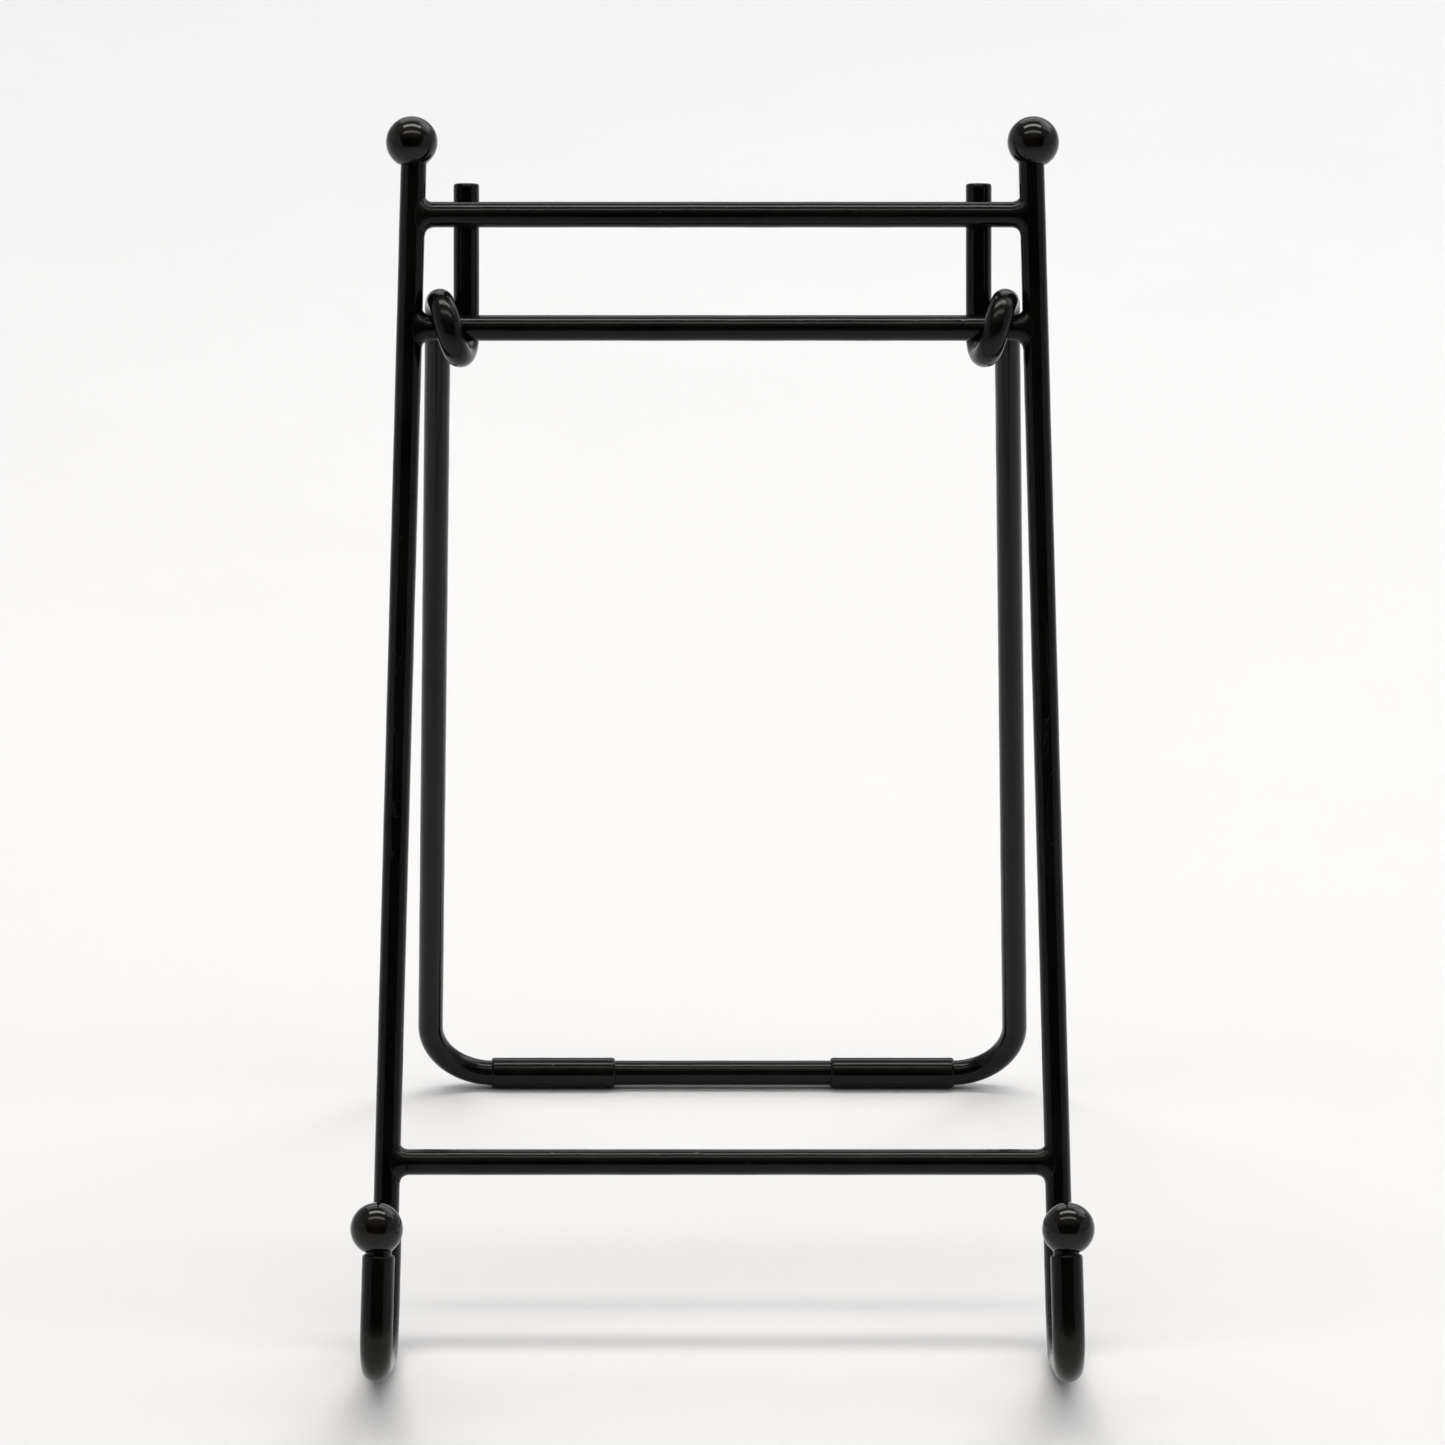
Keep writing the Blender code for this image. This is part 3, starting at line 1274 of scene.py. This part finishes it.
@dataclass(frozen=True)
class RearLeg:
    """The folding leg: one bent wire coiled round the hinge rod at both ends, and two foot sleeves."""

    front: FrontFrame
    open_angle: float = math.radians(40)
    coil_radius: float = 3.35 * MM
    coil_advance: float = 3.5 * MM
    top_x: float = 35.2 * MM
    foot_x: float = 38 * MM
    bend: float = 8 * MM
    tail: float = 18 * MM
    sleeve_x: float = 22 * MM
    sleeve_length: float = 16 * MM
    tip_mark: tuple = (1.9 * MM, 0.5 * MM)
    tip_depth: float = 0.56
    foot_mark: tuple = (1.4 * MM, 1.0 * MM, (0.16, 1.0, 1.0))
    coil_steps: int = 140
    tube: Tube = Tube()

    @property
    def tilt(self) -> float:
        """How far the leg leans from upright."""
        return self.open_angle - self.front.lean

    @property
    def placement(self) -> Matrix:
        """The leg's own axes: X along the hinge rod, and the leg pointing down."""
        return Matrix.Translation(self.front.hinge) @ Matrix.Rotation(self.tilt, 4, "X")

    @property
    def length(self) -> float:
        """From the hinge down to the foot's axis, so that the sleeves stand on the floor.

        Returns:
            The length.
        """
        low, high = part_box("left_rear_foot_sleeve")
        drop = self.front.hinge.z + self.coil_radius * math.sin(self.tilt) - (low.z + high.z) / 2
        return drop / math.cos(self.tilt)

    def half_path(self) -> Array:
        """The right half, from its tail's tip round the hinge rod and down to mid foot.

        Returns:
            The path's points, in the leg's own axes.
        """
        share = np.linspace(0, 1, self.coil_steps)
        turn = (TURN - self.open_angle) * (1 - share)
        x = self.top_x - self.coil_advance * (1 - eased(share))
        coil = np.stack([x, self.coil_radius * np.cos(turn), self.coil_radius * np.sin(turn)], axis=1)
        away = np.array((0, math.sin(self.open_angle), math.cos(self.open_angle)))
        tip = coil[:1] + away * self.tail
        corners = [(self.top_x, 0), (self.foot_x, -self.length), (0, -self.length)]
        down = rounded(np.array([(x, self.coil_radius, z) for x, z in corners]), (self.bend,))
        return np.concatenate([tip, coil, down[1:]])

    def rubs(self) -> tuple[Rub, ...]:
        """Where the tails, the coils and the leg bear on the front frame, and the tails' cut tips.

        Returns:
            The worn places.
        """
        x, y, z = self.half_path()[0]
        tips = [tuple(self.placement @ Vector((side.value * x, y, z))) for side in Side]
        rubs = [Rub(tip, *self.tip_mark, depth=self.tip_depth) for tip in tips]
        return (*rubs, *self.front.stop_rubs())

    def build_wire(self, kit: Kit) -> None:
        """The bent leg wire.

        Args:
            kit: The finished materials.
        """
        half = self.half_path()
        path = np.concatenate([half * (-1, 1, 1), half[-2::-1]])
        line = Line(placed(self.placement, path), np.array((1.0, 0.0, 0.0)))
        piece = self.front.wire.drawn(line).piece("bent_leg_wire", self.rubs())
        fitted(piece, kit.enamel, Body.LEG, "rear_leg_wire")

    def build_foot_sleeve(self, side: Side, kit: Kit) -> None:
        """One vinyl sleeve on the foot, pressed flat where it stands.

        Args:
            side: Which side of the stand.
            kit: The finished materials.
        """
        middle = side.value * self.sleeve_x
        half = self.sleeve_length / 2
        ends = [(x, self.coil_radius, -self.length) for x in (middle - half, middle + half)]
        path = placed(self.placement, np.array(ends))
        line = Line(path, np.array((0.0, 0.0, 1.0)))
        floor = cad_box[0][2]
        worn = Rub((middle, path[0][1], floor), *self.foot_mark)
        piece = self.tube.drawn(line).settled(floor).piece(f"{side.word}_foot_vinyl", (worn,))
        fitted(piece, kit.vinyl, Body.LEG, f"{side.word}_rear_foot_sleeve")

    def build(self, kit: Kit) -> None:
        """The whole rear leg.

        Args:
            kit: The finished materials.
        """
        self.build_wire(kit)
        for side in Side:
            self.build_foot_sleeve(side, kit)


# Studio


@dataclass(frozen=True)
class Panel:
    """A soft light: where it hangs, what it faces, its width and depth, and how bright its face is."""

    name: str
    place: Spot
    aim: Spot
    size: tuple[float, float]
    radiance: float
    tint: Colour = (1.0, 1.0, 1.0)

    def hang(self) -> None:
        """Adds the light, with its width level."""
        lamp = bpy.data.lights.new(self.name, "AREA")
        lamp.shape = "RECTANGLE"
        lamp.size, lamp.size_y = self.size
        lamp.energy = self.radiance * math.pi * self.size[0] * self.size[1]
        lamp.color = self.tint
        back = (Vector(self.place) - Vector(self.aim)).normalized()
        level = Vector((-back.y, back.x, 0)) if abs(back.x) > abs(back.y) else Vector((1, 0, 0))
        level = (level - back * level.dot(back)).normalized()
        turn = Matrix((level, back.cross(level), back)).transposed()
        hung = bpy.data.objects.new(self.name, lamp)
        hung.matrix_world = Matrix.Translation(self.place) @ turn.to_4x4()
        hung.visible_camera = False
        bpy.context.scene.collection.objects.link(hung)


@dataclass(frozen=True)
class Studio:
    """A plain white sweep under soft panels, and a camera square to the plate."""

    sweep_radius: float = 2.5
    curve_radius: float = 0.55
    wall_height: float = 1.6
    floor_rings: tuple = (0.02, 0.3, 0.8)
    curve_steps: int = 20
    segments: int = 144
    open_from: float = math.radians(112)
    open_to: float = math.radians(150)
    distance: float = 1.6
    elevation: float = math.radians(20)
    lens: float = 322.0
    near: float = 0.01
    room_dark: Colour = (0.02, 0.0195, 0.019)
    room_light: Colour = (0.33, 0.327, 0.32)
    dark_ahead: tuple[float, float] = (-0.75, -0.10)
    dark_below: tuple[float, float] = (0.45, 0.85)
    panels: tuple[Panel, ...] = (
        Panel("top_bar", (0.0, 0.16, 0.95), (0, 0.12, 0), (0.95, 0.19), 8.6, (1.0, 0.98, 0.94)),
        Panel("front_bar", (0.0, -0.34, 0.95), (0, 0, 0), (1.2, 0.16), 3.9, (1.0, 0.95, 0.88)),
        Panel("rear_bank", (0.25, 1.25, 1.05), (0, 0.35, 0), (2.2, 0.9), 1.25),
        Panel("key", (0.85, 0.55, 0.95), (0, 0, 0.05), (0.75, 0.75), 1.55),
        Panel("left_wash", (-1.55, 0.1, 1.3), (-2.5, 0.1, 0.35), (2.4, 0.3), 2.4),
        Panel("right_wash", (1.55, 0.1, 1.3), (2.5, 0.1, 0.35), (2.4, 0.3), 2.4),
        Panel("rear_wash", (0.0, 1.55, 1.3), (0, 2.5, 0.35), (2.4, 0.3), 2.4),
    )

    def build_sweep(self) -> None:
        """The floor and its wall, which runs round the back and sides and is open in front."""
        flat = self.sweep_radius - self.curve_radius
        turn = np.linspace(0, TURN / 4, self.curve_steps)
        bowl, climb = self.curve_radius * np.sin(turn), self.curve_radius * (1 - np.cos(turn))
        reach = [*self.floor_rings, *(flat + bowl), self.sweep_radius]
        rise = [*np.zeros(len(self.floor_rings)), *climb, self.wall_height]
        azimuth = np.linspace(-math.pi, math.pi, self.segments, endpoint=False)
        wall = eased((self.open_to - np.abs(azimuth)) / (self.open_to - self.open_from))
        rings = [
            np.column_stack([r * np.sin(azimuth), r * np.cos(azimuth), z * wall])
            for r, z in zip(reach, rise)
        ]
        points = np.concatenate([*rings, [(0, 0, 0)]])
        faces = walled(len(rings), len(azimuth), False)
        hub = len(points) - 1
        faces += [(hub, spot, (spot + 1) % len(azimuth)) for spot in range(len(azimuth))]
        points[:, 2] += cad_box[0][2]
        blank = np.zeros(len(points))
        sweep = Draft(points, faces, points.copy(), blank).piece("studio_sweep")
        sweep.data.materials.append(PaleFloor().material())

    def build_room(self) -> None:
        """A pale room that is dark towards the front, where nothing is lit."""
        room = bpy.data.worlds.new("studio_room")
        room.use_nodes = True
        nodes = Nodes(room.node_tree)
        way = nodes.value("ShaderNodeTexCoord", output="Generated")
        parts = nodes.node("ShaderNodeSeparateXYZ", None, {0: way})
        ahead, up = Value(nodes, parts.outputs["Y"]), Value(nodes, parts.outputs["Z"])
        front = (1 - ahead.between(*self.dark_ahead)) * (1 - up.between(*self.dark_below))
        colour = nodes.mixed(front, self.room_light, self.room_dark)
        nodes.connect(room.node_tree.nodes["Background"], {"Color": colour})
        bpy.context.scene.world = room

    def build_camera(self) -> None:
        """A long lens aimed at the middle of the stand."""
        low, high = cad_box
        aim = (Vector(low) + Vector(high)) / 2
        away = Vector((0, -math.cos(self.elevation), math.sin(self.elevation)))
        data = bpy.data.cameras.new("camera")
        data.lens = self.lens
        data.clip_start = self.near
        camera = bpy.data.objects.new("camera", data)
        camera.location = aim + away * self.distance
        camera.rotation_euler = (-away).to_track_quat("-Z", "Y").to_euler()
        bpy.context.scene.collection.objects.link(camera)
        bpy.context.scene.camera = camera
        bpy.context.scene.view_settings.view_transform = "Standard"

    def build(self) -> None:
        """The sweep, the room, the lights and the camera."""
        self.build_sweep()
        self.build_room()
        for panel in self.panels:
            panel.hang()
        self.build_camera()


def main() -> None:
    """Builds the studio and the stand."""
    logging.basicConfig(level=logging.INFO, format="%(name)s: %(message)s")
    Studio().build()
    thick = BlackEnamel("black_enamel_weld", gloss=0.20, peel_pitch=0.8 * MM, peel_depth=0.045 * MM)
    kit = Kit(
        BlackEnamel().material(), thick.material(), BlackVinyl().material(), BlackGloss().material()
    )
    front = FrontFrame()
    front.build(kit)
    RearLeg(front).build(kit)


if __name__ == "__main__":
    main()
